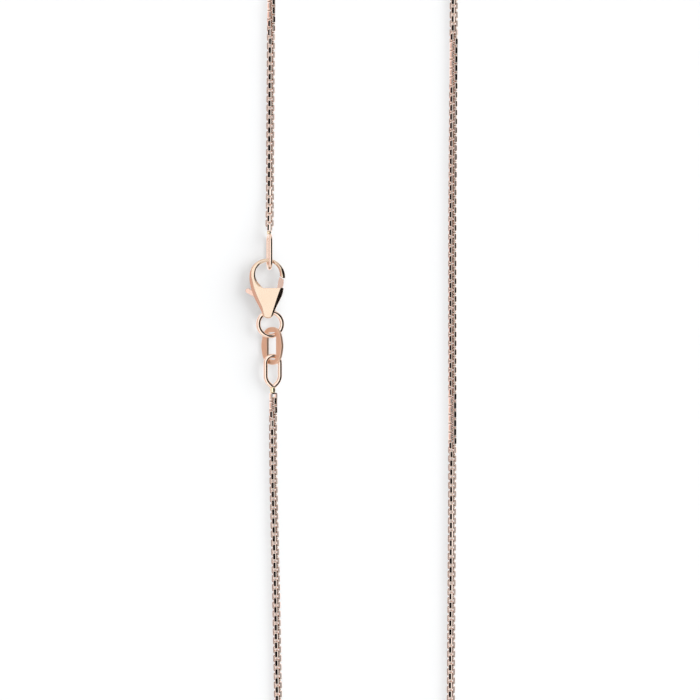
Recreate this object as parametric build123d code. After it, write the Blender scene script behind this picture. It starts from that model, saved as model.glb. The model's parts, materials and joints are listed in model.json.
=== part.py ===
from build123d import *
import os
from math import atan2, cos, degrees, hypot, pi, radians, sin, tan

# A box chain necklace with a lobster clasp, lying flat on Z = 0. Millimetres.
# The loop is long and narrow: +Y runs up its strands, the clasp is on the strand at -X.
# The model is laid out about the middle of the loop and moved to its final origin at the end.

# Box links: square rings of flat strip
LINK_SIZE = 1.40
LINK_STRIP_WIDTH = 0.70
LINK_STRIP_THICKNESS = 0.30
LINK_CORNER_RADIUS = 0.36
LINK_SLACK = 0.06
PITCH = LINK_SIZE - 2 * LINK_STRIP_THICKNESS - LINK_SLACK

# The loop. Heights on the strands count link contacts up or down from Y = 0.
STRAND_TOP = 121
STRAND_BOTTOM = -121
TOP_TURN_CONTACTS = 65
BOTTOM_TURN_CONTACTS = 61
TOP_MIDDLE_X = 0.10
BOTTOM_MIDDLE_X = 0.42
STRAIGHT_FROM = 57.0
BLEND_UNTIL = 72.0
# Each strand's middle line in the middle part of the loop, as (Y, X)
LEFT_UPPER = ((20.0, -15.38), (57.0, -15.13))
RIGHT_STRAND = ((-57.0, 14.83), (-20.0, 15.07), (20.0, 15.07), (57.0, 15.32))
LEFT_LOWER = ((-57.0, -14.00), (-39.0, -14.33), (-22.5, -14.72), (-15.0, -14.80))

# Roll of the chain about its own middle line, as (Y, degrees): + turns its top towards +X
FLAT_ROLL = -7.0
LEANING_ROLL = -12.0
CORNER_ROLL = -33.0
STEEP_ROLL = -47.0
LEFT_UPPER_ROLL = ((26.0, FLAT_ROLL), (29.5, LEANING_ROLL), (50.5, LEANING_ROLL), (57.0, STEEP_ROLL))
RIGHT_ROLL = (
    (-18.0, LEANING_ROLL), (-14.5, STEEP_ROLL), (-9.0, STEEP_ROLL), (-6.5, CORNER_ROLL),
    (43.0, CORNER_ROLL), (45.5, STEEP_ROLL), (50.5, STEEP_ROLL), (54.0, LEANING_ROLL),
)
LEFT_LOWER_ROLL = ((-13.0, LEANING_ROLL), (-9.0, STEEP_ROLL))

# Rows of the loop that move as one: each boundary is a contact number on the strands
CLASP_ROW = (8, 19)
RING_ROW = (4, 8)
TAG_ROW = (-2, 4)
ROWS_UP = (19, 35, 56, 77, 98)
ROWS_DOWN = (-2, -19, -40, -61, -82, -98)
SWAY_LENGTH = 17
FIRST_UPPER = 27
LAST_LOWER = -10

# How far the end links hold the chain's ends above its resting height
UPPER_END_RISE = 0.84
LOWER_END_RISE = 0.20
END_RISE_LENGTH = 7.0

# Clasp: flat back on Z = 0. Its outlines are (X, Y) from the end of its tail, claw up +Y
CLASP_X = -15.60
CLASP_Y = 5.25
CLASP_LENGTH = 10.0
CLASP_OUTLINE = (
    (0, 0), (0.60, 0.18), (0.95, 0.85), (1.55, 2.25), (2.37, 4.15), (2.62, 5.60), (2.80, 7.10), (2.42, 8.38),
    (1.20, 9.62), (-0.30, 9.97), (-1.90, 9.43), (-2.85, 8.35), (-3.13, 7.00), (-2.87, 5.15), (-2.20, 3.25),
    (-1.05, 0.95), (-0.62, 0.18),
)
CLAW_INSIDE = (
    (-0.80, 5.05), (-1.45, 5.68), (-2.10, 6.80), (-1.90, 8.38), (-0.90, 9.22), (0.35, 9.38), (1.30, 8.80),
    (1.93, 7.05),
)
CLAW_CORNER = (1.93, 5.05)
CLAW_GAP = (
    (1.20, 5.05), (3.40, 5.05), (3.40, 6.60), (2.75, 6.72), (2.38, 6.68), (1.93, 7.05), (1.20, 7.05),
)
SIDE_TOP = ((-0.8, 2.40), (1.2, 2.72), (3.6, 2.92), (5.4, 2.75), (7.0, 2.28), (9.0, 2.14), (11.0, 2.14))
SIDE_BOTTOM = ((11.0, 0.86), (8.2, 0.86), (6.6, 0.52), (5.6, 0.12), (4.8, 0.0))
SIDE_FLAT_END = (-0.8, 0.0)
CLASP_TOP_ROUNDING = 0.35
CLASP_BACK_ROUNDING = 0.12
EYE_Y = 6.26
EYE_Z = 1.36
EYE_RADIUS = 0.70
EYE_WEAR = 0.05

# Trigger, pin and spring, in the clasp's own (X, Y)
PIVOT = (1.62, 4.30)
PIN_RADIUS = 0.30
PIN_RUNNING_CLEARANCE = 0.03
PIN_TOP = 2.35
TRIGGER_BOTTOM = 0.85
TRIGGER_TOP = 1.95
SLOT_CLEARANCE = 0.06
LEVER_ELBOW = (-1.80, 3.75)
LEVER_END = (-3.38, 4.60)
LEVER_WIDTH = 0.80
HUB_RADIUS = 0.56
GATE = (
    (1.15, 4.40), (1.50, 5.15), (1.68, 6.30), (1.89, 6.92), (2.35, 6.58), (2.58, 6.45), (2.50, 5.50),
    (2.10, 4.50),
)
SLOT = (
    (1.10, 5.20), (3.40, 5.20), (3.40, 3.60), (1.20, 3.50), (0.60, 3.05), (-1.50, 2.05), (-3.60, 2.05),
    (-3.60, 4.78), (1.10, 4.78),
)
SPRING_PATH = ((0.45, 3.15), (-1.20, 2.37), (-0.15, 3.42))
SPRING_BEND = 0.16
SPRING_WIRE_RADIUS = 0.10

# Jump ring, tag link and end links
RING_MIDDLE_RADIUS = 2.00
RING_WIRE_RADIUS = 0.375
RING_X = -15.30
RING_Y = 4.32
RING_TILT = 13.0
TAG_LENGTH = 6.27
TAG_WIDTH = 4.15
TAG_THICKNESS = 0.60
# a quarter of the tag's oval outline, as shares of its half width and half length
TAG_QUARTER = ((1.0, 0.0), (0.945, 0.30), (0.862, 0.56), (0.557, 0.877), (0.0, 1.0))
TAG_HOLE_LENGTH = 4.58
TAG_HOLE_WIDTH = 1.82
TAG_HOLE_CORNER = 0.45
TAG_EDGE_ROUNDING = 0.12
TAG_TILT = -32.0
TAG_X = -14.93
TAG_Y = 0.685
TAG_Z = 1.33
UPPER_WIRE_RADIUS = 0.32
END_LINK_WIDTH = 3.13
LOWER_WIRE_RADIUS = 0.36
LOWER_LINK_LENGTH = 5.86
LOWER_LINK_SHOULDER = 1.05
LOWER_LINK_SHOULDER_BEND = 2.0
LOWER_LINK_POINT = 0.15
LOWER_LINK_POINT_BEND = 0.45
LOWER_LINK_X = -14.87
LOWER_LINK_TOP = -0.63
LOWER_LINK_TILT = 13.0
LOWER_LINK_DROP = 4.0
UPPER_LINK_LENGTH = 6.23
UPPER_LINK_X = -15.42
UPPER_LINK_BOTTOM = 13.27
UPPER_LINK_Z = 1.56
UPPER_LINK_TURN = -79.0
SOLDER_LENGTH = 1.30
UPPER_SOLDER_WIDTH = 0.74
LOWER_SOLDER_WIDTH = 0.96
SOLDER_SHIFT = -0.06
UPPER_SOLDER_Y = 19.58
LOWER_SOLDER_Y = -6.68


def interpolate(keys, at):
    """The value at a place, from (place, value) keys in rising order, held level past both ends."""
    if at <= keys[0][0]:
        return keys[0][1]
    for (a, start), (b, end) in zip(keys, keys[1:]):
        if at <= b:
            return start + (end - start) * (at - a) / (b - a)
    return keys[-1][1]


def strand_x(middle_line, end_x, y):
    """X of a strand at a height: its middle line, blended into the straight run before the turn."""
    share = (abs(y) - STRAIGHT_FROM) / (BLEND_UNTIL - STRAIGHT_FROM)
    share = min(max(share, 0.0), 1.0)
    smooth = share * share * (3 - 2 * share)
    return interpolate(middle_line, y) * (1 - smooth) + end_x * smooth


def turn_width(contacts):
    """Distance between two strands joined by a half turn of equal bends at this many contacts."""
    return PITCH / tan(pi / (2 * contacts))


TOP_LEFT_X = TOP_MIDDLE_X - turn_width(TOP_TURN_CONTACTS) / 2
TOP_RIGHT_X = TOP_MIDDLE_X + turn_width(TOP_TURN_CONTACTS) / 2
BOTTOM_LEFT_X = BOTTOM_MIDDLE_X - turn_width(BOTTOM_TURN_CONTACTS) / 2
BOTTOM_RIGHT_X = BOTTOM_MIDDLE_X + turn_width(BOTTOM_TURN_CONTACTS) / 2


def left_upper_x(y):
    return strand_x(LEFT_UPPER, TOP_LEFT_X, y)


def left_lower_x(y):
    return strand_x(LEFT_LOWER, BOTTOM_LEFT_X, y)


def right_x(y):
    return strand_x(RIGHT_STRAND, TOP_RIGHT_X if y > 0 else BOTTOM_RIGHT_X, y)


def resting_height(roll):
    """Height of a link pair's middle line when the wider link of the pair rests on the surface."""
    lean = radians(abs(roll) % 90)
    half_size = LINK_SIZE / 2
    half_strip = LINK_STRIP_WIDTH / 2
    standing = half_size * cos(lean) + half_strip * sin(lean)
    lying = half_size * sin(lean) + half_strip * cos(lean)
    return max(standing, lying)


def place_link(link, number, x, y, z, heading, climb, roll):
    """A box link at a place on the chain. Even links lie, odd links stand, before the roll."""
    along = Vector(sin(heading) * cos(climb), cos(heading) * cos(climb), sin(climb))
    across = Vector(cos(heading), -sin(heading), 0)
    up = across.cross(along)
    angle = radians(roll + 90 * (number % 2))
    axis = up * cos(angle) + across * sin(angle)
    side = along.cross(axis)
    return Plane(origin=(x, y, z), x_dir=side, z_dir=axis).location * link


def make_box_link():
    """A square ring of flat strip, its hole along Z, with rounded outer corners."""
    outline = RectangleRounded(LINK_SIZE, LINK_SIZE, LINK_CORNER_RADIUS)
    outside = extrude(outline, LINK_STRIP_WIDTH / 2, both=True)
    inside = LINK_SIZE - 2 * LINK_STRIP_THICKNESS
    return (outside - extrude(Rectangle(inside, inside), LINK_STRIP_WIDTH, both=True)).solid()


class Chain:
    """All box links in their places, each known by a strand name and its number on the strand."""

    def __init__(self):
        self.link = make_box_link()
        self.placed = {}

    def add(self, strand, step, number, x, y, z, heading, climb, roll):
        self.placed[strand, step] = place_link(self.link, number, x, y, z, heading, climb, roll)

    def between(self, strand, low, high):
        """The links of a strand between two contacts."""
        placed = sorted(self.placed.items())
        return [link for (name, step), link in placed if name == strand and low <= step < high]


def strand_points(x_of, roll_keys, low, high, rise=0.0, rise_from=0.0):
    """Middle, heading, climb and roll of each link of a strand, from contact low up to contact high."""

    def lift(y):
        share = max(0.0, 1 - abs(y - rise_from) / END_RISE_LENGTH)
        return rise * share * share * (3 - 2 * share)

    for step in range(low, high):
        y0 = step * PITCH
        y1 = y0 + PITCH
        x0 = x_of(y0)
        x1 = x_of(y1)
        middle = (y0 + y1) / 2
        roll = interpolate(roll_keys, middle)
        z = resting_height(roll) + (lift(y0) + lift(y1)) / 2
        heading = atan2(x1 - x0, PITCH)
        climb = atan2(lift(y1) - lift(y0), PITCH)
        yield step, ((x0 + x1) / 2, middle, z, heading, climb, roll)


def turn_points(contacts, start_x, start_y, upwards, first_roll, last_roll):
    """The links of a half turn from the left strand over to the right one."""
    x = start_x
    y = start_y
    for step in range(1, contacts):
        share = step / contacts
        heading = pi * share
        if not upwards:
            heading = pi - heading
        dx = PITCH * sin(heading)
        dy = PITCH * cos(heading)
        roll = first_roll + (last_roll - first_roll) * share
        z = resting_height(roll)
        yield step, (x + dx / 2, y + dy / 2, z, heading, 0.0, roll)
        x += dx
        y += dy


def lay_chain():
    """Lays every link of the loop between the two solder joints."""
    chain = Chain()
    upper_end = (UPPER_END_RISE, FIRST_UPPER * PITCH)
    lower_end = (LOWER_END_RISE, LAST_LOWER * PITCH)
    for step, place in strand_points(left_upper_x, LEFT_UPPER_ROLL, FIRST_UPPER, STRAND_TOP, *upper_end):
        chain.add("left", step, step, *place)
    for step, place in strand_points(left_lower_x, LEFT_LOWER_ROLL, STRAND_BOTTOM, LAST_LOWER, *lower_end):
        chain.add("left", step, step, *place)
    # the number of links round the turns makes the right strand's links take the other place in the pair
    for step, place in strand_points(right_x, RIGHT_ROLL, STRAND_BOTTOM, STRAND_TOP):
        chain.add("right", step, step + 1, *place)
    # a roll is read along the way round, which reverses its sign where the chain points down
    over_the_top = (interpolate(LEFT_UPPER_ROLL, 90), -interpolate(RIGHT_ROLL, 90))
    top_y = STRAND_TOP * PITCH
    for step, place in turn_points(TOP_TURN_CONTACTS, TOP_LEFT_X, top_y, True, *over_the_top):
        chain.add("top", step, STRAND_TOP + step - 1, *place)
    under = (-interpolate(LEFT_LOWER_ROLL, -90), interpolate(RIGHT_ROLL, -90))
    bottom_y = STRAND_BOTTOM * PITCH
    for step, place in turn_points(BOTTOM_TURN_CONTACTS, BOTTOM_LEFT_X, bottom_y, False, *under):
        chain.add("bottom", step, STRAND_BOTTOM - step, *place)
    return chain


def clasp_place():
    return Pos(CLASP_X, CLASP_Y, 0)


def ring_place():
    return Pos(RING_X, RING_Y, EYE_Z) * Rot(0, RING_TILT, 0)


def clasp_side():
    """The clasp seen from its side, in (Y, Z): flat back, full body, thinner raised claw."""
    top = Spline(*SIDE_TOP)
    bottom = Spline(*SIDE_BOTTOM)
    ends = [Line(top @ 1, bottom @ 0), Polyline(bottom @ 1, SIDE_FLAT_END, top @ 0)]
    side = make_face(Curve() + [top, bottom] + ends)
    return Pos(-CLASP_LENGTH / 2, 0, 0) * extrude(Plane.YZ * side, CLASP_LENGTH)


def claw_opening():
    """The space inside the claw and the gap in it where the trigger's gate goes."""
    curve = Spline(*CLAW_INSIDE)
    inside = make_face(Curve() + [curve, Polyline(curve @ 1, CLAW_CORNER, curve @ 0)])
    return inside + make_face(Polyline(*CLAW_GAP, close=True))


def make_clasp_body():
    """One casting: claw, hollow body with a slot for the trigger, and tail with its eye."""
    outline = make_face(Spline(*CLASP_OUTLINE, periodic=True))
    body = extrude(outline, CLASP_LENGTH) & clasp_side()
    rims = [edge for edge in body.edges() if edge.geom_type != GeomType.LINE]
    body = fillet([edge for edge in rims if edge.center().Z > EYE_Z], CLASP_TOP_ROUNDING)
    rims = [edge for edge in body.edges() if edge.geom_type != GeomType.LINE]
    body = fillet([edge for edge in rims if edge.center().Z < EYE_Z], CLASP_BACK_ROUNDING)
    body -= extrude(claw_opening(), CLASP_LENGTH)
    slot = extrude(make_face(Polyline(*SLOT, close=True)), TRIGGER_TOP - TRIGGER_BOTTOM + 2 * SLOT_CLEARANCE)
    body -= Pos(0, 0, TRIGGER_BOTTOM - SLOT_CLEARANCE) * slot
    body -= Pos(*PIVOT, 0) * extrude(Circle(PIN_RADIUS), PIN_TOP)
    eye = Pos(0, EYE_Y - CLASP_Y, EYE_Z) * Rot(0, 90, 0) * Cylinder(EYE_RADIUS, CLASP_LENGTH)
    # the eye's lips are worn round where the ring bears on them
    worn = ring_place() * Torus(RING_MIDDLE_RADIUS, RING_WIRE_RADIUS + EYE_WEAR)
    return (clasp_place() * (body - eye) - worn).solid()


def make_pivot_pin():
    return clasp_place() * Pos(*PIVOT, 0) * extrude(Circle(PIN_RADIUS), PIN_TOP)


def bar_between(start, end, width):
    """A flat bar with round ends, in the XY plane."""
    length = hypot(end[0] - start[0], end[1] - start[1])
    angle = degrees(atan2(end[1] - start[1], end[0] - start[0]))
    middle = ((start[0] + end[0]) / 2, (start[1] + end[1]) / 2)
    return Pos(*middle) * Rot(0, 0, angle) * SlotCenterToCenter(length, width)


def make_trigger():
    """One lever on the pin: gate up to the claw's tip, lever across the body, thumb nub outside."""
    outline = bar_between(PIVOT, LEVER_ELBOW, LEVER_WIDTH) + bar_between(LEVER_ELBOW, LEVER_END, LEVER_WIDTH)
    outline += make_face(Polyline(*GATE, close=True))
    outline += Pos(*PIVOT) * Circle(HUB_RADIUS)
    outline -= Pos(*PIVOT) * Circle(PIN_RADIUS + PIN_RUNNING_CLEARANCE)
    return clasp_place() * Pos(0, 0, TRIGGER_BOTTOM) * extrude(outline, TRIGGER_TOP - TRIGGER_BOTTOM)


def round_wire(path, radius):
    """A round wire along a path."""
    section = Plane(origin=path @ 0, z_dir=path % 0) * Circle(radius)
    return sweep(section, path=path)


def make_spring():
    """Bent wire between the body and the lever, which pushes the trigger shut."""
    path = FilletPolyline(*SPRING_PATH, radius=SPRING_BEND)
    middle = (TRIGGER_BOTTOM + TRIGGER_TOP) / 2
    return clasp_place() * Pos(0, 0, middle) * round_wire(path, SPRING_WIRE_RADIUS)


def make_jump_ring():
    return ring_place() * Torus(RING_MIDDLE_RADIUS, RING_WIRE_RADIUS)


def make_tag_link():
    """A flat oval plate with a long hole, its sides blank."""
    quarter = [(TAG_WIDTH / 2 * across, TAG_LENGTH / 2 * along) for across, along in TAG_QUARTER]
    right_side = [(x, -y) for x, y in reversed(quarter[1:])] + quarter
    left_side = [(-x, -y) for x, y in right_side]
    outline = make_face(Spline(*right_side[:-1], *left_side[:-1], periodic=True))
    plate = extrude(outline, TAG_THICKNESS / 2, both=True)
    plate = fillet(plate.edges(), TAG_EDGE_ROUNDING)
    hole = RectangleRounded(TAG_HOLE_WIDTH, TAG_HOLE_LENGTH, TAG_HOLE_CORNER)
    plate -= extrude(hole, TAG_THICKNESS, both=True)
    return Pos(TAG_X, TAG_Y, TAG_Z) * Rot(0, TAG_TILT, 0) * plate


def make_lower_end_link():
    """An oval of round wire, pinched to a point at the chain's end."""
    half_width = END_LINK_WIDTH / 2 - LOWER_WIRE_RADIUS
    length = LOWER_LINK_LENGTH - 2 * LOWER_WIRE_RADIUS
    shoulder = -length + LOWER_LINK_SHOULDER
    left_side = [(-half_width, shoulder), (-half_width, 0)]
    right_side = [(half_width, 0), (half_width, shoulder)]
    outline = make_face(Polyline((0, -length - LOWER_LINK_POINT), *left_side, *right_side, close=True))
    corners = outline.vertices().sort_by(Axis.Y)
    outline = fillet(corners[3:], half_width * 0.98)
    corners = outline.vertices().sort_by(Axis.Y)
    outline = fillet(corners[1:3], LOWER_LINK_SHOULDER_BEND)
    outline = fillet(outline.vertices().sort_by(Axis.Y)[:1], LOWER_LINK_POINT_BEND)
    wire = round_wire(outline.face().outer_wire(), LOWER_WIRE_RADIUS)
    place = Pos(LOWER_LINK_X, LOWER_LINK_TOP - LOWER_WIRE_RADIUS, EYE_Z)
    return place * Rot(LOWER_LINK_DROP, 0, 0) * Rot(0, LOWER_LINK_TILT, 0) * wire


def make_upper_end_link():
    """An oval of round wire standing on its edge, hooked in the claw."""
    length = UPPER_LINK_LENGTH - 2 * UPPER_WIRE_RADIUS
    width = END_LINK_WIDTH - 2 * UPPER_WIRE_RADIUS
    outline = Rot(0, 0, 90) * SlotOverall(length, width)
    wire = round_wire(outline.face().outer_wire(), UPPER_WIRE_RADIUS)
    middle_y = UPPER_LINK_BOTTOM + UPPER_LINK_LENGTH / 2
    return Pos(UPPER_LINK_X, middle_y, UPPER_LINK_Z) * Rot(0, UPPER_LINK_TURN, 0) * wire


def make_solder_joint(y, width, neighbours):
    """A drop of solder that fills the gap between an end link and the chain's last link."""
    middle = sum((shape.center(CenterOf.BOUNDING_BOX) for shape in neighbours), Vector()) / len(neighbours)
    profile = Rot(0, 0, 90) * Ellipse(SOLDER_LENGTH / 2, width / 2)
    half = profile & Pos(width, 0) * Rectangle(2 * width, 2 * SOLDER_LENGTH)
    drop = Pos(middle.X + SOLDER_SHIFT, y, middle.Z) * revolve(half, Axis.Y)
    for neighbour in neighbours:
        drop -= neighbour
    return max(drop.solids(), key=lambda solid: solid.volume)


def chain_stretches(chain):
    """The chain's links by node: one node for each stretch that moves as one rigid piece."""
    left = {}
    right = {"clasp_row": CLASP_ROW, "ring_row": RING_ROW, "tag_row": TAG_ROW}
    for row, limits in enumerate(zip(ROWS_UP, ROWS_UP[1:]), 1):
        left[f"up_{row}"] = limits
        right[f"up_{row}"] = limits
    for row, (high, low) in enumerate(zip(ROWS_DOWN, ROWS_DOWN[1:]), 1):
        left[f"down_{row}"] = (low, high)
        right[f"down_{row}"] = (low, high)
    top_bar = (ROWS_UP[-1], ROWS_UP[-1] + SWAY_LENGTH)
    bottom_bar = (ROWS_DOWN[-1] - SWAY_LENGTH, ROWS_DOWN[-1])
    left.update(top_bar=top_bar, bottom_bar=bottom_bar)
    right.update(top_bar=top_bar, bottom_bar=bottom_bar)
    stretches = {}
    for name, limits in left.items():
        stretches[f"chain_left_{name}"] = chain.between("left", *limits)
    for name, limits in right.items():
        stretches[f"chain_right_{name}"] = chain.between("right", *limits)
    top_ends = [
        link for strand in ("left", "right") for link in chain.between(strand, top_bar[1], STRAND_TOP)
    ]
    stretches["chain_top_turn"] = top_ends + chain.between("top", 0, TOP_TURN_CONTACTS)
    low_ends = [
        link for strand in ("left", "right") for link in chain.between(strand, STRAND_BOTTOM, bottom_bar[0])
    ]
    stretches["chain_bottom_turn"] = low_ends + chain.between("bottom", 0, BOTTOM_TURN_CONTACTS)
    return stretches


def make_pieces():
    """The solids of every node, laid out about the middle of the loop."""
    chain = lay_chain()
    upper_link = make_upper_end_link()
    lower_link = make_lower_end_link()
    first_link = chain.placed["left", FIRST_UPPER]
    last_link = chain.placed["left", LAST_LOWER - 1]
    upper_solder = make_solder_joint(UPPER_SOLDER_Y, UPPER_SOLDER_WIDTH, (upper_link, first_link))
    lower_solder = make_solder_joint(LOWER_SOLDER_Y, LOWER_SOLDER_WIDTH, (lower_link, last_link))
    pieces = {
        "clasp_body": [make_clasp_body()],
        "clasp_trigger": [make_trigger()],
        "clasp_pivot_pin": [make_pivot_pin()],
        "clasp_spring": [make_spring()],
        "jump_ring": [make_jump_ring()],
        "tag_link": [make_tag_link()],
        "upper_end_link": [upper_link],
        "lower_end_link": [lower_link],
        "upper_solder_joint": [upper_solder],
        "lower_solder_joint": [lower_solder],
    }
    pieces.update(chain_stretches(chain))
    return pieces


def export_pieces():
    """Moves the middle of the whole part to the origin and writes one file for each node."""
    pieces = make_pieces()
    boxes = [solid.bounding_box() for solids in pieces.values() for solid in solids]
    middle_x = (min(box.min.X for box in boxes) + max(box.max.X for box in boxes)) / 2
    middle_y = (min(box.min.Y for box in boxes) + max(box.max.Y for box in boxes)) / 2
    to_origin = Pos(-middle_x, -middle_y, 0)
    os.makedirs("parts", exist_ok=True)
    for name, solids in pieces.items():
        export_step(Compound(children=[to_origin * solid for solid in solids]), f"parts/{name}.step")


export_pieces()
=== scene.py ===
import json
import math
import random

import bmesh
import bpy
import numpy as np
from mathutils import Matrix, Vector

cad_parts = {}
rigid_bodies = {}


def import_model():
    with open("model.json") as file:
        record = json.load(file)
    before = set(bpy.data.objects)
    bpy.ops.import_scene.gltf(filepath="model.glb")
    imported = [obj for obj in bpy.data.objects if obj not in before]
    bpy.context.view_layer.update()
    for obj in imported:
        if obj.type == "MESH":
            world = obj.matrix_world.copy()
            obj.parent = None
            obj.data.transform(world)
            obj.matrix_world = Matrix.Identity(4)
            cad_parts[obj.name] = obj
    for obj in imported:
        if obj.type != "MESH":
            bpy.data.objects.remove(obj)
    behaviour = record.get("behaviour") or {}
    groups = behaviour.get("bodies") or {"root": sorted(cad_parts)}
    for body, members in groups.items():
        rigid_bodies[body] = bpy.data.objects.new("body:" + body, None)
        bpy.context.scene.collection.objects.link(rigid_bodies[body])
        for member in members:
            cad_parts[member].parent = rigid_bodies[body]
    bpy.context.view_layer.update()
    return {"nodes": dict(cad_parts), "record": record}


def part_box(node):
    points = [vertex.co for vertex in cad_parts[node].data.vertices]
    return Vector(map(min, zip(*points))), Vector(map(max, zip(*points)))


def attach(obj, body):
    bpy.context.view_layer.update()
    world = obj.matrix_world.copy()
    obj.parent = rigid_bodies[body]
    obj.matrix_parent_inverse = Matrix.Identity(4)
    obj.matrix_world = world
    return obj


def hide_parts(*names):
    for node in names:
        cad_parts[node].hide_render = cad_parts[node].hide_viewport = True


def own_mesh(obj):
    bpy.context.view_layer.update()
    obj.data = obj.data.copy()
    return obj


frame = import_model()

MM = 0.001
random.seed(7)

# ---------------------------------------------------------------- places and sizes, in millimetres
# Places are given from the middle of the loop, and the pivot pin's box gives the step to the row frame
PIVOT_PLACE = (-13.98, 9.55)
pin_low, pin_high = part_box("clasp_pivot_pin")
PIN = ((pin_low + pin_high) / 2) / MM
OFFSET = Vector((PIN.x - PIVOT_PLACE[0], PIN.y - PIVOT_PLACE[1], 0.0))

# The clasp's own (X, Y) starts at the end of its tail
CLASP_PLACE = (-15.60, 5.25)
# Ridges between the clasp's face and its slanted flanks, as (Y, X), and the face's height, as (Y, Z)
LEFT_RIDGE = (
    (0.3, -0.60), (1.8, -0.95), (3.9, -1.90), (5.0, -2.32), (7.0, -2.80), (8.4, -2.74), (9.4, -1.90),
)
RIGHT_RIDGE = ((0.3, 0.55), (1.25, 0.82), (3.9, 1.70), (5.1, 2.15), (7.0, 2.50), (8.2, 2.20))
FACE_HEIGHT = ((-0.8, 2.40), (1.2, 2.72), (3.6, 2.92), (5.4, 2.75), (7.0, 2.28), (9.0, 2.14))
LEFT_FLANK_SLOPE = 0.80
RIGHT_FLANK_SLOPE = 0.78
# The face drops by FACE_DOME from its middle line to each side
FACE_DOME = 0.08
FACE_MIDDLE_X = -0.15
FACE_HALF_WIDTH = 2.6
# The claw's inner lip is rounded inside an ellipse, LIP_REACH times as large as the claw's opening
CLAW_MIDDLE = (-0.05, 7.2)
CLAW_HALF_SIZE = (1.98, 2.18)
LIP_REACH = 1.16
LIP_SLOPE = 1.6
LIP_WIDEST = 0.3
LIP_FROM_Y = 5.0
LIP_FADE = 0.6
# The top of the trigger's gate slopes down outwards from an edge
TRIGGER_TOP = 1.95
GATE_FROM_Y = 4.9
GATE_EDGE_X = 1.35
GATE_SLOPE = 0.17

RING_RADIUS = 2.0
RING_WIRE = 0.375
RING_MIDDLE = (-15.30, 4.32, 1.36)
RING_TILT = 13.0

# The end links. A round end's radius is a share of the half width, so that its two arcs don't overlap
LINK_WIDTH = 3.13
LOWER_WIRE = 0.36
LOWER_ROUND_END = 0.98
LOWER_LENGTH = 5.86
LOWER_POINT = 0.15
LOWER_POINT_BEND = 0.45
LOWER_SHOULDER = 1.05
LOWER_SHOULDER_BEND = 2.0
LOWER_TOP_MIDDLE = (-14.87, -0.99, 1.36)
LOWER_TILT = 13.0
LOWER_DROP = 4.0
UPPER_WIRE = 0.32
UPPER_ROUND_END = 0.999
UPPER_LENGTH = 6.23
UPPER_MIDDLE = (-15.42, 13.27 + UPPER_LENGTH / 2, 1.56)
UPPER_TURN = -79.0


def place(x, y, z=0.0):
    """A point given from the middle of the loop, in the row frame, in metres."""
    return (Vector((x, y, z)) + OFFSET) * MM


# ---------------------------------------------------------------- materials
def node(tree, kind, **values):
    """A shader node with its inputs or its settings filled in."""
    n = tree.nodes.new(kind)
    for key, value in values.items():
        if key in n.inputs:
            n.inputs[key].default_value = value
        else:
            setattr(n, key, value)
    return n


def ramp(tree, factor, stops):
    """The colour output of a ramp with a colour at each stop."""
    r = tree.nodes.new("ShaderNodeValToRGB")
    while len(r.color_ramp.elements) > 1:
        r.color_ramp.elements.remove(r.color_ramp.elements[-1])
    for i, (at, colour) in enumerate(stops):
        e = r.color_ramp.elements[0] if i == 0 else r.color_ramp.elements.new(at)
        e.position = at
        e.color = (*colour, 1.0)
    tree.links.new(factor, r.inputs["Fac"])
    return r.outputs["Color"]


# BROWN and ORANGE are the colours of the painted shade in the crevices
BROWN = (0.42, 0.26, 0.18)
ORANGE = (0.78, 0.45, 0.28)
# The reach of the painted shade in crevices and the height of scratches and grain, in metres
CREVICE_REACH = 0.00022
RELIEF = 0.00002


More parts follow.
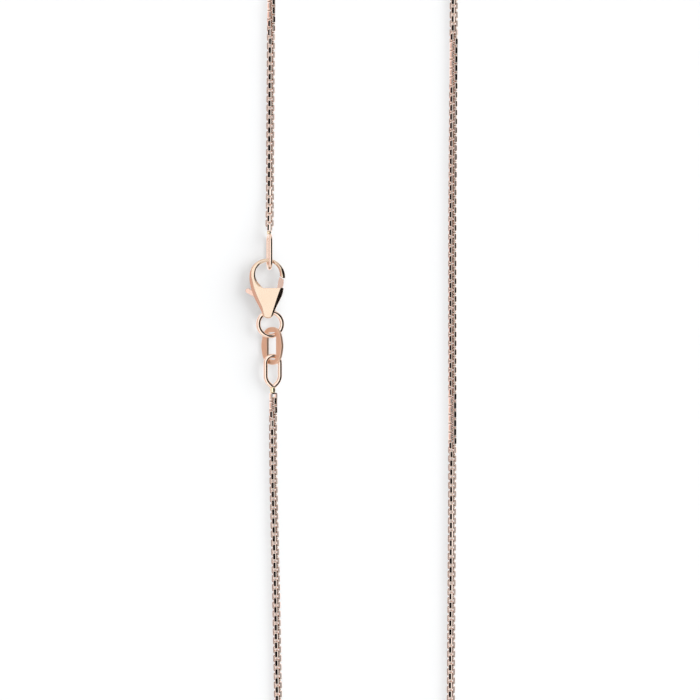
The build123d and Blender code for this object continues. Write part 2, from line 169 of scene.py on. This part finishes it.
def metal(name, light, dark, rough, scratch=0.0, grain=0.0, crevice=0.5, crevice_shade_colour=BROWN, bump=0.02):
    """Polished or satin metal: slow colour drift, micro scratches, painted shade in the crevices and uneven
    gloss.
    """
    m = bpy.data.materials.new(name)
    m.use_nodes = True
    t = m.node_tree
    t.nodes.clear()
    out = t.nodes.new("ShaderNodeOutputMaterial")
    p = node(t, "ShaderNodeBsdfPrincipled", Metallic=1.0)
    t.links.new(p.outputs["BSDF"], out.inputs["Surface"])
    where = t.nodes.new("ShaderNodeTexCoord")
    drift = node(t, "ShaderNodeTexNoise", Scale=420.0, Detail=3.0, Roughness=0.55)
    t.links.new(where.outputs["Object"], drift.inputs["Vector"])
    body = ramp(t, drift.outputs["Fac"], ((0.32, dark), (0.68, light)))
    # painted shade in the crevices, darker where ambient occlusion finds them close
    ao = node(t, "ShaderNodeAmbientOcclusion", Distance=CREVICE_REACH, samples=8)
    deep = node(
        t, "ShaderNodeMapRange", **{"From Min": 0.05, "From Max": 0.5, "To Min": crevice, "To Max": 0.0}
    )
    t.links.new(ao.outputs["AO"], deep.inputs["Value"])
    crevice_shaded = node(t, "ShaderNodeMix", data_type="RGBA", blend_type="MULTIPLY")
    t.links.new(deep.outputs["Result"], crevice_shaded.inputs[0])
    t.links.new(body, crevice_shaded.inputs[6])
    crevice_shaded.inputs[7].default_value = (*crevice_shade_colour, 1.0)
    t.links.new(crevice_shaded.outputs[2], p.inputs["Base Color"])
    patches = node(t, "ShaderNodeTexNoise", Scale=900.0, Detail=4.0, Roughness=0.6)
    t.links.new(where.outputs["Object"], patches.inputs["Vector"])
    gloss = node(t, "ShaderNodeMapRange", **{"To Min": rough * 0.85, "To Max": rough * 1.18})
    t.links.new(patches.outputs["Fac"], gloss.inputs["Value"])
    t.links.new(gloss.outputs["Result"], p.inputs["Roughness"])
    height = patches.outputs["Fac"]
    strength = bump
    if scratch or grain:
        stretch = node(t, "ShaderNodeMapping")
        stretch.inputs["Scale"].default_value = (1.0, 0.12, 1.0)
        t.links.new(where.outputs["Object"], stretch.inputs["Vector"])
        lines = node(t, "ShaderNodeTexNoise", Scale=14000.0 if grain else 9000.0, Detail=5.0, Roughness=0.7)
        t.links.new(stretch.outputs["Vector"], lines.inputs["Vector"])
        height = lines.outputs["Fac"]
        strength = grain or scratch
    b = node(t, "ShaderNodeBump", Strength=strength, Distance=RELIEF)
    t.links.new(height, b.inputs["Height"])
    t.links.new(b.outputs["Normal"], p.inputs["Normal"])
    return m


POLISHED = metal(
    "polished_rose_gold", (0.76, 0.61, 0.48), (0.745, 0.59, 0.46), 0.17, scratch=0.03, crevice=0.35
)
WIRE = metal(
    "wire_rose_gold", (0.91, 0.73, 0.62), (0.88, 0.69, 0.58), 0.09, scratch=0.03, crevice=0.35, crevice_shade_colour=ORANGE
)
CHAIN = metal(
    "chain_rose_gold", (0.96, 0.84, 0.77), (0.92, 0.78, 0.70), 0.04, crevice=0.42, crevice_shade_colour=ORANGE, bump=0.01
)
# painted shade: the clasp's rose gold made darker for the lever, which lies in the clasp's shade
SHADED_LEVER = metal("shaded_lever_rose_gold", (0.74, 0.53, 0.45), (0.71, 0.50, 0.42), 0.17, scratch=0.03, crevice=0.35)
SATIN = metal("satin_rose_gold", (0.83, 0.57, 0.42), (0.77, 0.515, 0.37), 0.36, grain=0.25)
SOLDER = metal("solder", (0.96, 0.89, 0.68), (0.90, 0.80, 0.56), 0.25, crevice=0.3, bump=0.15)
STEEL = metal("spring_wire", (0.62, 0.61, 0.60), (0.48, 0.47, 0.46), 0.28, scratch=0.08)


# ---------------------------------------------------------------- mesh helpers
def make_object(name, points, faces, material, smooth=True):
    """A mesh object in the scene, from points in metres."""
    mesh = bpy.data.meshes.new(name)
    mesh.from_pydata([tuple(p) for p in points], [], [tuple(f) for f in faces])
    mesh.update()
    mesh.materials.append(material)
    if smooth:
        mesh.polygons.foreach_set("use_smooth", [True] * len(mesh.polygons))
    o = bpy.data.objects.new(name, mesh)
    bpy.context.scene.collection.objects.link(o)
    return o


def stand_for(o, body, slot, *nodes):
    """Lets a piece ride its body in place of the CAD nodes that it shows."""
    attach(o, body)
    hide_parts(*nodes)
    return o


def loft(rings, closed_way=True, closed_ring=True):
    """Faces of a grid of points: rings in order, each with the same number of points."""
    count = len(rings)
    size = len(rings[0])
    faces = []
    for i in range(count if closed_way else count - 1):
        j = (i + 1) % count
        for k in range(size if closed_ring else size - 1):
            beside = (k + 1) % size
            faces.append((i * size + k, j * size + k, j * size + beside, i * size + beside))
    return faces


# ---------------------------------------------------------------- box links
LINK = 1.40
STRIP = 0.70
THICK = 0.30
CORNER = 0.36
OUTER_EDGE = 0.14
INNER_EDGE = 0.09
CROWN = math.radians(6)
CORNER_STEPS = 5
SMALLEST_BEND = 0.012
# Two solids' middles are neighbours along the chain when they are nearer than this
NEIGHBOUR_GAP = 0.95
# How far a link may lie off its ideal place, in degrees
LOOSE_ROLL = 1.6
LOOSE_YAW = 0.9
# CAD points nearer than this, in metres, are one point
SAME_POINT = 2e-7


def strip_section():
    """Section of the strip: (depth from the outside, place across), crowned outside, with round edges."""
    half = STRIP / 2
    flat = half - OUTER_EDGE * (1 - math.sin(CROWN))
    bend = flat / math.sin(CROWN)
    right = [(bend * (1 - math.cos(a)), bend * math.sin(a)) for a in np.linspace(0, CROWN, 5)[1:]]
    start = right[-1][0] + OUTER_EDGE * math.cos(CROWN)
    for a in np.linspace(CROWN, math.pi / 2, 7)[1:]:
        right.append((start - OUTER_EDGE * math.cos(a), half - OUTER_EDGE * (1 - math.sin(a))))
    for a in np.linspace(0, math.pi / 2, 5):
        right.append((THICK - INNER_EDGE * (1 - math.sin(a)), half - INNER_EDGE * (1 - math.cos(a))))
    left = [(depth, -across) for depth, across in reversed(right)]
    return [(0.0, 0.0)] + right + left


def link_template():
    """A box link about its own middle: hole along Z, chain direction along X. In millimetres."""
    section = strip_section()
    rings = []
    for quarter in range(4):
        cx = (LINK / 2 - CORNER) * (1 if quarter in (0, 3) else -1)
        cy = (LINK / 2 - CORNER) * (1 if quarter in (0, 1) else -1)
        for k in range(CORNER_STEPS + 1):
            a = math.radians(90 * quarter + 90 * k / CORNER_STEPS)
            ring = []
            for depth, z in section:
                r = max(CORNER - depth, SMALLEST_BEND)
                ring.append((cx + r * math.cos(a), cy + r * math.sin(a), z))
            rings.append(ring)
    points = np.array([p for ring in rings for p in ring])
    return points, np.array(loft(rings))


LINK_POINTS, LINK_FACES = link_template()


def loose_parts(o):
    """The corner points of each separate solid in a CAD node, as arrays in millimetres."""
    bm = bmesh.new()
    bm.from_mesh(o.data)
    bmesh.ops.remove_doubles(bm, verts=bm.verts, dist=SAME_POINT)
    bm.verts.ensure_lookup_table()
    seen = set()
    parts = []
    for v in bm.verts:
        if v.index in seen:
            continue
        seen.add(v.index)
        heap = [v]
        part = []
        while heap:
            a = heap.pop()
            part.append(a.co[:])
            for e in a.link_edges:
                b = e.other_vert(a)
                if b.index not in seen:
                    seen.add(b.index)
                    heap.append(b)
        parts.append(np.array(part) / MM)
    bm.free()
    return parts


def link_frames(parts):
    """Middle, hole axis and chain direction of each link."""
    middles = np.array([(p.max(0) + p.min(0)) / 2 for p in parts])
    for i, p in enumerate(parts):
        d = p - middles[i]
        # a link's points spread least along its hole
        axis = np.linalg.eigh(d.T @ d)[1][:, 0]
        gaps = np.linalg.norm(middles - middles[i], axis=1)
        near = [k for k in np.argsort(gaps)[1:3] if gaps[k] < NEIGHBOUR_GAP]
        way = middles[near[0]] - middles[near[1]] if len(near) == 2 else middles[near[0]] - middles[i]
        if way[1] < 0:
            way = -way
        way = way - axis * (way @ axis)
        way /= np.linalg.norm(way)
        yield middles[i], axis, way


def small_turn(axis, angle):
    return np.array(Matrix.Rotation(angle, 3, Vector(axis)))


def rebuild_links(name, body, nodes):
    """The links of one chain node, each rebuilt from the template in its place and turned a little."""
    parts = loose_parts(nodes[name])
    points = []
    faces = []
    for middle, axis, way in link_frames(parts):
        side = np.cross(axis, way)
        turn = np.column_stack((way, side, axis))
        loose = small_turn(way, math.radians(random.uniform(-LOOSE_ROLL, LOOSE_ROLL)))
        loose = small_turn(side, math.radians(random.uniform(-LOOSE_YAW, LOOSE_YAW))) @ loose
        placed = LINK_POINTS @ (loose @ turn).T + middle
        faces.append(LINK_FACES + len(LINK_POINTS) * len(points))
        points.append(placed)
    o = make_object(name + "_links", np.concatenate(points) * MM, np.concatenate(faces), CHAIN)
    return stand_for(o, body, "chain_rose_gold", name)


for body_name, members in frame["record"]["behaviour"]["bodies"].items():
    for member in members:
        if member.startswith("chain_"):
            rebuild_links(member, body_name, frame["nodes"])


# ---------------------------------------------------------------- round wire
PATH_STEP = 0.06


def tube(name, path, radius, material, around=28, swell=None):
    """A closed round wire through points in the row frame, in millimetres."""
    path = np.array(path)
    count = len(path)
    ahead = np.roll(path, -1, 0) - np.roll(path, 1, 0)
    ahead /= np.linalg.norm(ahead, axis=1)[:, None]
    # the path lies in a plane, and this is the plane's normal
    normal = np.linalg.svd(path - path.mean(0))[2][2]
    rings = []
    for i in range(count):
        side = np.cross(ahead[i], normal)
        side /= np.linalg.norm(side)
        r = radius * (swell(i / count) if swell else 1.0)
        rings.append([
            path[i] + r * (math.cos(a) * side + math.sin(a) * normal)
            for a in (2 * math.pi * k / around for k in range(around))
        ])
    points = [p for ring in rings for p in ring]
    return make_object(name, np.array(points) * MM, loft(rings), material)


def turned(points, about, *turns):
    """Points turned about their own origin and then moved to a place, in millimetres."""
    m = Matrix.Identity(3)
    for axis, degrees in turns:
        m = Matrix.Rotation(math.radians(degrees), 3, axis) @ m
    return [np.array(m @ Vector(p) + Vector(about) + OFFSET) for p in points]


def rounded_path(corners, spacing=0.05):
    """Closed polygon with an own radius at each corner, as evenly spread points."""
    out = []
    n = len(corners)
    for i in range(n):
        (px, py, _), (x, y, r), (nx, ny, _) = corners[i - 1], corners[i], corners[(i + 1) % n]
        a = Vector((px - x, py - y)).normalized()
        b = Vector((nx - x, ny - y)).normalized()
        half = a.angle(b) / 2
        reach = r / math.tan(half)
        centre = Vector((x, y)) + (a + b).normalized() * (r / math.sin(half))
        start = Vector((x, y)) + a * reach - centre
        sweep = math.pi - 2 * half
        way = 1 if a.x * b.y - a.y * b.x < 0 else -1
        steps = max(3, int(r * sweep / spacing))
        for k in range(steps + 1):
            t = way * sweep * k / steps
            c, s = math.cos(t), math.sin(t)
            out.append((centre.x + start.x * c - start.y * s, centre.y + start.x * s + start.y * c, 0.0))
    # even spacing along the straight sides too
    closed = np.array(out + [out[0]])
    lengths = np.concatenate(([0], np.cumsum(np.linalg.norm(np.diff(closed, axis=0), axis=1))))
    even = np.linspace(0, lengths[-1], int(lengths[-1] / PATH_STEP), endpoint=False)
    return np.column_stack([np.interp(even, lengths, closed[:, k]) for k in range(3)])


# The jump ring's seam: its place and width as shares of the way round, its depth as a share of the wire
SEAM_AT = 0.055
SEAM_DEPTH = 0.055
SEAM_WIDTH = 0.0025


def ring_seam(share):
    """The wire's thickness along the ring: its cut ends meet in a fine groove."""
    gap = min(abs(share - SEAM_AT), abs(share - 1.0 - SEAM_AT))
    return 1.0 - SEAM_DEPTH * math.exp(-((gap / SEAM_WIDTH) ** 2))


def jump_ring():
    angles = np.linspace(0, 2 * math.pi, 180, endpoint=False)
    path = [(RING_RADIUS * math.cos(a), RING_RADIUS * math.sin(a), 0.0) for a in angles]
    path = turned(path, RING_MIDDLE, ("Y", RING_TILT))
    o = tube("jump_ring_wire", path, RING_WIRE, WIRE, swell=ring_seam)
    return stand_for(o, "jump_ring", "polished_rose_gold", "jump_ring")


def lower_end_link():
    """An oval wire link, pinched to a point where it meets the chain."""
    half = LINK_WIDTH / 2 - LOWER_WIRE
    length = LOWER_LENGTH - 2 * LOWER_WIRE
    top_bend = half * LOWER_ROUND_END
    shoulder = -length + LOWER_SHOULDER
    corners = (
        (0.0, -length - LOWER_POINT, LOWER_POINT_BEND), (half, shoulder, LOWER_SHOULDER_BEND),
        (half, 0.0, top_bend), (-half, 0.0, top_bend), (-half, shoulder, LOWER_SHOULDER_BEND),
    )
    path = turned(rounded_path(corners), LOWER_TOP_MIDDLE, ("Y", LOWER_TILT), ("X", LOWER_DROP))
    o = tube("lower_end_link_wire", path, LOWER_WIRE, WIRE)
    return stand_for(o, "row_down_1", "polished_rose_gold", "lower_end_link")


def upper_end_link():
    """An oval wire link that stands almost on its edge."""
    half_width = LINK_WIDTH / 2 - UPPER_WIRE
    half_length = UPPER_LENGTH / 2 - UPPER_WIRE
    r = half_width * UPPER_ROUND_END
    corners = (
        (half_width, -half_length, r), (half_width, half_length, r),
        (-half_width, half_length, r), (-half_width, -half_length, r),
    )
    path = turned(rounded_path(corners), UPPER_MIDDLE, ("Y", UPPER_TURN))
    o = tube("upper_end_link_wire", path, UPPER_WIRE, WIRE)
    return stand_for(o, "row_up_1", "polished_rose_gold", "upper_end_link")


jump_ring()
lower_end_link()
upper_end_link()


# ---------------------------------------------------------------- soft solids made from a CAD node
def cast_from(name, source, material, voxel, smooth_steps, shape=None):
    """A cast, polished copy of a CAD solid: remeshed, shaped and with its edges softened."""
    mesh = frame["nodes"][source].data.copy()
    o = bpy.data.objects.new(name, mesh)
    bpy.context.scene.collection.objects.link(o)
    mesh.materials.clear()
    mesh.materials.append(material)
    bm = bmesh.new()
    bm.from_mesh(mesh)
    bmesh.ops.remove_doubles(bm, verts=bm.verts, dist=SAME_POINT)
    bmesh.ops.scale(bm, vec=(1 / MM, 1 / MM, 1 / MM), verts=bm.verts)
    bm.to_mesh(mesh)
    bm.free()
    remesh = o.modifiers.new("remesh", "REMESH")
    remesh.mode = "VOXEL"
    remesh.voxel_size = voxel
    apply_modifiers(o)
    if shape:
        reshape(o.data, shape)
    soft = o.modifiers.new("soft", "SMOOTH")
    soft.factor = 0.5
    soft.iterations = smooth_steps
    apply_modifiers(o)
    reshape(o.data, lambda co: co * MM)
    o.data.polygons.foreach_set("use_smooth", [True] * len(o.data.polygons))
    return o


def apply_modifiers(o):
    graph = bpy.context.evaluated_depsgraph_get()
    graph.update()
    mesh = bpy.data.meshes.new_from_object(o.evaluated_get(graph))
    o.modifiers.clear()
    o.data = mesh


def reshape(mesh, change):
    co = np.zeros(len(mesh.vertices) * 3)
    mesh.vertices.foreach_get("co", co)
    mesh.vertices.foreach_set("co", change(co.reshape(-1, 3)).ravel())
    mesh.update()


def clasp_xy(co):
    """Points in the row frame, in millimetres, as the clasp's own X and Y."""
    return co[:, 0] - OFFSET.x - CLASP_PLACE[0], co[:, 1] - OFFSET.y - CLASP_PLACE[1]


def along(points, y):
    """The value at y on a line through (Y, value) points."""
    return np.interp(y, [p[0] for p in points], [p[1] for p in points])


def facet_clasp(co):
    """Cuts the clasp's slanted flanks, domes its face a little and rounds the claw's inner lip."""
    co = co.copy()
    x, y = clasp_xy(co)
    top = along(FACE_HEIGHT, y)
    top -= LEFT_FLANK_SLOPE * np.clip(along(LEFT_RIDGE, y) - x, 0, None)
    top -= RIGHT_FLANK_SLOPE * np.clip(x - along(RIGHT_RIDGE, y), 0, None)
    top -= FACE_DOME * np.clip((x - FACE_MIDDLE_X) / FACE_HALF_WIDTH, -1, 1) ** 2
    inner = np.hypot((x - CLAW_MIDDLE[0]) / CLAW_HALF_SIZE[0], (y - CLAW_MIDDLE[1]) / CLAW_HALF_SIZE[1])
    lip = np.clip(LIP_REACH - inner, 0, LIP_WIDEST) * np.clip((y - LIP_FROM_Y) / LIP_FADE, 0, 1)
    top -= LIP_SLOPE * lip
    co[:, 2] = np.minimum(co[:, 2], top)
    return co


def slope_gate(co):
    """Slopes the top of the trigger's gate down towards its outer side."""
    co = co.copy()
    x, y = clasp_xy(co)
    sloped = TRIGGER_TOP - GATE_SLOPE * np.clip(x - GATE_EDGE_X, 0, None)
    co[:, 2] = np.where(y > GATE_FROM_Y, np.minimum(co[:, 2], sloped), co[:, 2])
    return co


clasp = cast_from("clasp_casting", "clasp_body", POLISHED, voxel=0.045, smooth_steps=8, shape=facet_clasp)
stand_for(clasp, "clasp", "polished_rose_gold", "clasp_body")
trigger = cast_from("clasp_lever", "clasp_trigger", SHADED_LEVER, voxel=0.035, smooth_steps=5, shape=slope_gate)
stand_for(trigger, "trigger", "polished_rose_gold", "clasp_trigger")
pin = cast_from("clasp_pin_riveted", "clasp_pivot_pin", WIRE, voxel=0.03, smooth_steps=3)
stand_for(pin, "clasp", "polished_rose_gold", "clasp_pivot_pin")
spring = cast_from("clasp_spring_wire", "clasp_spring", STEEL, voxel=0.02, smooth_steps=2)
stand_for(spring, "clasp", "spring_steel", "clasp_spring")
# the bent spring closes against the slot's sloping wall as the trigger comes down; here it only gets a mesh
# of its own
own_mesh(spring)
tag = cast_from("tag_link_satin", "tag_link", SATIN, voxel=0.04, smooth_steps=3)
stand_for(tag, "tag_link", "satin_rose_gold", "tag_link")
for end, body_name in (("upper", "row_up_1"), ("lower", "row_down_1")):
    drop = cast_from(end + "_solder_drop", end + "_solder_joint", SOLDER, voxel=0.025, smooth_steps=6)
    stand_for(drop, body_name, "solder", end + "_solder_joint")


# ---------------------------------------------------------------- floor
FLOOR_HALF_SIZE = 1.5
FLOOR_COLOUR = (0.467, 0.475, 0.482)
FLOOR_GLOW = (0.985, 1.0, 1.01)
FLOOR_GLOW_STRENGTH = 0.375


def floor():
    """A white table top under the necklace."""
    m = bpy.data.materials.new("floor")
    m.use_nodes = True
    p = m.node_tree.nodes["Principled BSDF"]
    p.inputs["Base Color"].default_value = (*FLOOR_COLOUR, 1.0)
    p.inputs["Roughness"].default_value = 0.9
    p.inputs["Specular IOR Level"].default_value = 0.0
    # a lit table top, so shadows on it stay pale
    p.inputs["Emission Color"].default_value = (*FLOOR_GLOW, 1.0)
    p.inputs["Emission Strength"].default_value = FLOOR_GLOW_STRENGTH
    s = FLOOR_HALF_SIZE
    corners = [(-s, -s, 0), (s, -s, 0), (s, s, 0), (-s, s, 0)]
    o = make_object("floor", corners, [(0, 1, 2, 3)], m, smooth=False)
    # the metal mirrors the tent's lower half, not the table right under it
    o.visible_glossy = False
    return o


floor()


# ---------------------------------------------------------------- light
GREY = (1.12, 1.08, 1.07)
DIM = (0.90, 0.61, 0.55)
LILAC = (1.10, 1.06, 1.07)
WHITE = (1.36, 1.34, 1.32)
BLACK = (0.012, 0.010, 0.010)
END_WALL = (0.95, 0.90, 0.86)
# The tent's brightness by the angle from overhead, left (-) to right (+), in degrees
TENT = (
    (-180, GREY), (-102, GREY), (-92, DIM), (-75, DIM), (-72, BLACK), (-51, BLACK), (-48, LILAC),
    (-44, LILAC), (-41, BLACK), (-15, BLACK), (-12, WHITE), (17, WHITE), (22, BLACK), (118, BLACK),
    (124, GREY), (180, GREY),
)
# The bands end in a pale wall between these shares of the way to each end of the tent
WALL_FROM = 0.62
WALL_TO = 0.76
# Turns about X and Y, in degrees. Positive about Y brings the light from the right
KEY_TILT = (-8, 60)
KEY_SPREAD = 60
# The side cards, in metres, aimed at the clasp
CARD_AIM = (-15.0, 4.0)
CARD_DISTANCE = 0.5
CARD_LENGTH = 1.1


def lamp(name, energy, spread, tilt=(0, 0), blockers=None):
    """A wide soft lamp that doesn't show in the metal. Only the blockers, if given, cast its shadows."""
    sun = bpy.data.lights.new(name, "SUN")
    sun.energy = energy
    sun.angle = math.radians(spread)
    o = bpy.data.objects.new(name, sun)
    o.rotation_euler = (math.radians(tilt[0]), math.radians(tilt[1]), 0)
    o.visible_glossy = False
    if blockers:
        o.light_linking.blocker_collection = blockers
    bpy.context.scene.collection.objects.link(o)


def side_card(name, angle, spread, radiance, colour, receivers):
    """A bright strip that fills one dark gap of the tent for the smooth cast and wire pieces."""
    card = bpy.data.lights.new(name, "AREA")
    card.shape = "RECTANGLE"
    card.size = 2 * CARD_DISTANCE * math.tan(math.radians(spread / 2))
    card.size_y = CARD_LENGTH
    card.color = colour
    card.energy = radiance * math.pi * card.size * card.size_y
    o = bpy.data.objects.new(name, card)
    a = math.radians(angle)
    o.location = place(*CARD_AIM) + CARD_DISTANCE * Vector((math.sin(a), 0, math.cos(a)))
    o.rotation_euler = (0, a, 0)
    o.light_linking.receiver_collection = receivers
    bpy.context.scene.collection.objects.link(o)


def light_smooth_pieces():
    """The clasp group's own lights: a key that gives it a deeper shadow, and two cards to its left."""
    finishes = (POLISHED, SHADED_LEVER, WIRE, SATIN, SOLDER)
    pieces = bpy.data.collections.new("smooth_pieces")
    for o in bpy.data.objects:
        if o.type == "MESH" and o.data.materials and o.data.materials[0] in finishes:
            pieces.objects.link(o)
    lamp("key_of_clasp", energy=3.1, spread=KEY_SPREAD, tilt=KEY_TILT, blockers=pieces)
    side_card("card_high", angle=-28, spread=31, radiance=1.10, colour=(1.0, 1.0, 1.0), receivers=pieces)
    side_card("card_low", angle=-61, spread=23, radiance=0.72, colour=(1.0, 0.80, 0.72), receivers=pieces)


def studio():
    """A light tent with dark gaps all round, a soft fill from overhead and a key from the right."""
    w = bpy.data.worlds.new("tent")
    bpy.context.scene.world = w
    w.use_nodes = True
    t = w.node_tree
    background = t.nodes["Background"]
    where = t.nodes.new("ShaderNodeTexCoord")
    split = t.nodes.new("ShaderNodeSeparateXYZ")
    t.links.new(where.outputs["Generated"], split.inputs[0])
    angle = node(t, "ShaderNodeMath", operation="ARCTAN2")
    t.links.new(split.outputs["X"], angle.inputs[0])
    t.links.new(split.outputs["Z"], angle.inputs[1])
    share = node(t, "ShaderNodeMapRange", **{"From Min": -math.pi, "From Max": math.pi})
    t.links.new(angle.outputs[0], share.inputs["Value"])
    bands = ramp(t, share.outputs["Result"], [((a + 180) / 360, c) for a, c in TENT])
    # the bands run along the strands, and end in a pale wall at both ends of the tent
    lengthwise = node(t, "ShaderNodeMath", operation="ABSOLUTE")
    t.links.new(split.outputs["Y"], lengthwise.inputs[0])
    end = node(t, "ShaderNodeMapRange", **{"From Min": WALL_FROM, "From Max": WALL_TO})
    t.links.new(lengthwise.outputs[0], end.inputs["Value"])
    walls = node(t, "ShaderNodeMix", data_type="RGBA")
    t.links.new(end.outputs["Result"], walls.inputs[0])
    t.links.new(bands, walls.inputs[6])
    walls.inputs[7].default_value = (*END_WALL, 1.0)
    t.links.new(walls.outputs[2], background.inputs["Color"])
    background.inputs["Strength"].default_value = 1.0
    lamp("fill", energy=0.35, spread=110)
    lamp("key", energy=1.5, spread=KEY_SPREAD, tilt=KEY_TILT)


studio()
light_smooth_pieces()


# ---------------------------------------------------------------- camera
# The width of the view at the height of VIEW_MIDDLE, in metres
VIEW_WIDTH = 0.11667
VIEW_MIDDLE = (-2.0, 0.0, 1.0)


def camera():
    """Straight down over the middle of the picture, through a long lens."""
    lens = bpy.data.cameras.new("camera")
    lens.lens = 120
    lens.sensor_width = 36
    o = bpy.data.objects.new("camera", lens)
    distance = VIEW_WIDTH * lens.lens / lens.sensor_width
    o.location = place(*VIEW_MIDDLE) + Vector((0, 0, distance))
    lens.clip_end = 10
    lens.clip_start = 0.01
    bpy.context.scene.collection.objects.link(o)
    bpy.context.scene.camera = o


camera()
bpy.context.scene.view_settings.view_transform = "Standard"
